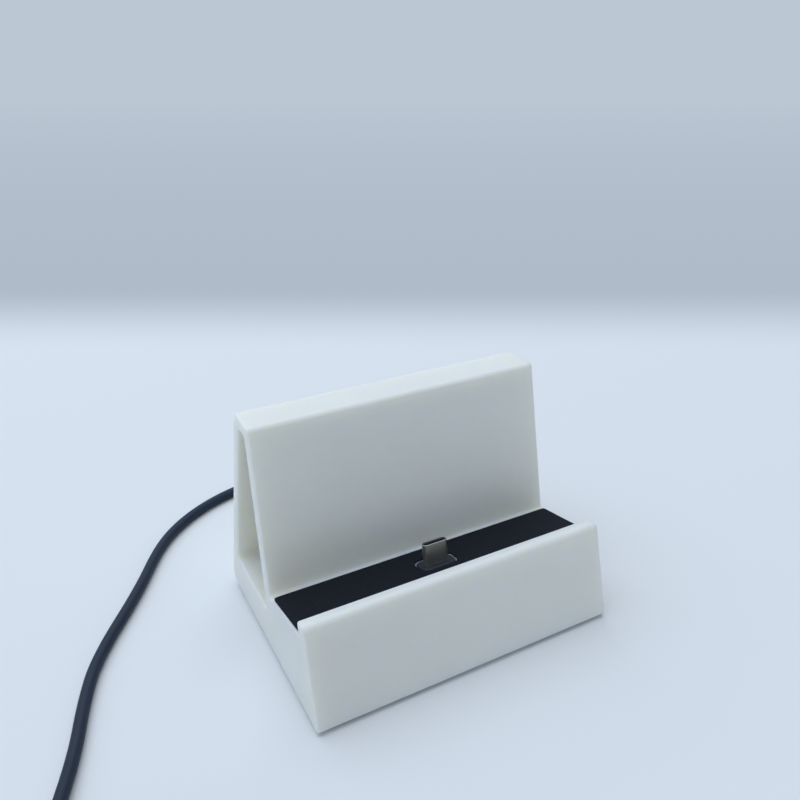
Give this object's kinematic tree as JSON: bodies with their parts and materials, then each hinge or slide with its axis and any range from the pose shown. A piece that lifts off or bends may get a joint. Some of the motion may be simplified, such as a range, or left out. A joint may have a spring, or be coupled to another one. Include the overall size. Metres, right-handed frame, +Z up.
{
  "type": "handheld console dock",
  "caption": "Small printed desk stand with a sloping lined slot, an A-frame back rest and an upright charging plug on a lead, for standing and charging a handheld console.",
  "frame": {"origin": "on the table, under the middle of the dock's footprint, measured without its lead", "axes": "-Y is the front, where the lip is; +X is the user's right; +Z is up"},
  "size_m": [0.1775, 0.1919, 0.0696],
  "materials": {
    "printed_plastic": "ivory white print, satin, fine layer lines",
    "liner_foam": "black closed-cell liner, matte",
    "plug_moulding": "black moulding, fine spark texture",
    "plug_shell": "drawn steel, nickel plated",
    "plug_insulator": "black moulding",
    "contact_metal": "gold plated",
    "screw_steel": "zinc plated",
    "foot_rubber": "soft black rubber, matte",
    "cable_jacket": "smooth black jacket, soft gloss",
    "tie_strap": "black woven strap"
  },
  "bodies": {
    "root": {"dock_body": "printed_plastic", "plug_clamp": "printed_plastic", "slot_pad": "liner_foam", "dock_plug_body": "plug_moulding", "dock_plug_shell": "plug_shell", "dock_plug_insulator": "plug_insulator", "dock_plug_contacts": "contact_metal", "clamp_screws": "screw_steel", "foot_front_left": "foot_rubber", "foot_front_right": "foot_rubber", "foot_rear_left": "foot_rubber", "foot_rear_right": "foot_rubber", "lead_inner": "cable_jacket", "lead_tube": "cable_jacket", "lead_tail": "cable_jacket", "lead_coil": "cable_jacket", "lead_tie": "tie_strap", "far_plug_body": "plug_moulding", "far_plug_shell": "plug_shell", "far_plug_insulator": "plug_insulator", "far_plug_contacts": "contact_metal"}
  },
  "joints": []
}
